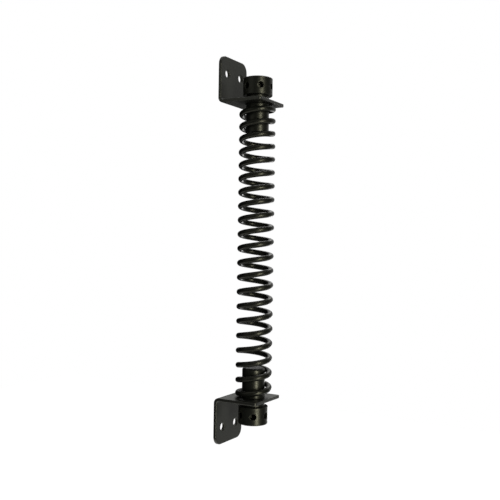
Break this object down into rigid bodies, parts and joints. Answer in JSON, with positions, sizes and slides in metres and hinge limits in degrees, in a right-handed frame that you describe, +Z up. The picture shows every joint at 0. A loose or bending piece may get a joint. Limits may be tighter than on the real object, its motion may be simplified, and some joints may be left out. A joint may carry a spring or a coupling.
{
  "type": "gate spring closer",
  "caption": "Gate closer: an open coil spring between screw-on angle brackets, wound up at each end by a drum with tommy-bar holes.",
  "frame": {"origin": "middle of the lower bracket's screw holes, on its mounting face", "axes": "+Z up along the spring, +Y out of the mounting faces into the post, +X across the screw plates"},
  "size_m": [0.032, 0.0318, 0.251],
  "materials": {
    "bracket_paint": "satin black paint on pressed steel strip",
    "turned_paint": "satin black paint on turned steel",
    "wire_paint": "satin black paint on spring wire"
  },
  "bodies": {
    "lower_bracket": {"lower_bracket": "bracket_paint"},
    "lower_adjuster": {"lower_spindle": "turned_paint", "lower_spacer": "turned_paint", "lower_drum": "turned_paint", "coil_spring": "wire_paint"},
    "upper_adjuster": {"upper_spindle": "turned_paint", "upper_spacer": "turned_paint", "upper_drum": "turned_paint"},
    "upper_bracket": {"upper_bracket": "bracket_paint"}
  },
  "joints": [
    {"name": "lower_tension", "type": "hinge", "parent": "lower_bracket", "child": "lower_adjuster", "pos_m": [0, -0.02, 0.02], "axis": [0, 0, 1], "continuous": true},
    {"name": "spring_twist", "type": "hinge", "parent": "lower_adjuster", "child": "upper_adjuster", "pos_m": [0, -0.02, 0.1145], "axis": [0, 0, 1], "range_deg": [0, 170], "stiffness_Nm_per_rad": 1.3, "deforming": ["coil_spring"]},
    {"name": "upper_tension", "type": "hinge", "parent": "upper_adjuster", "child": "upper_bracket", "pos_m": [0, -0.02, 0.209], "axis": [0, 0, 1], "continuous": true}
  ]
}
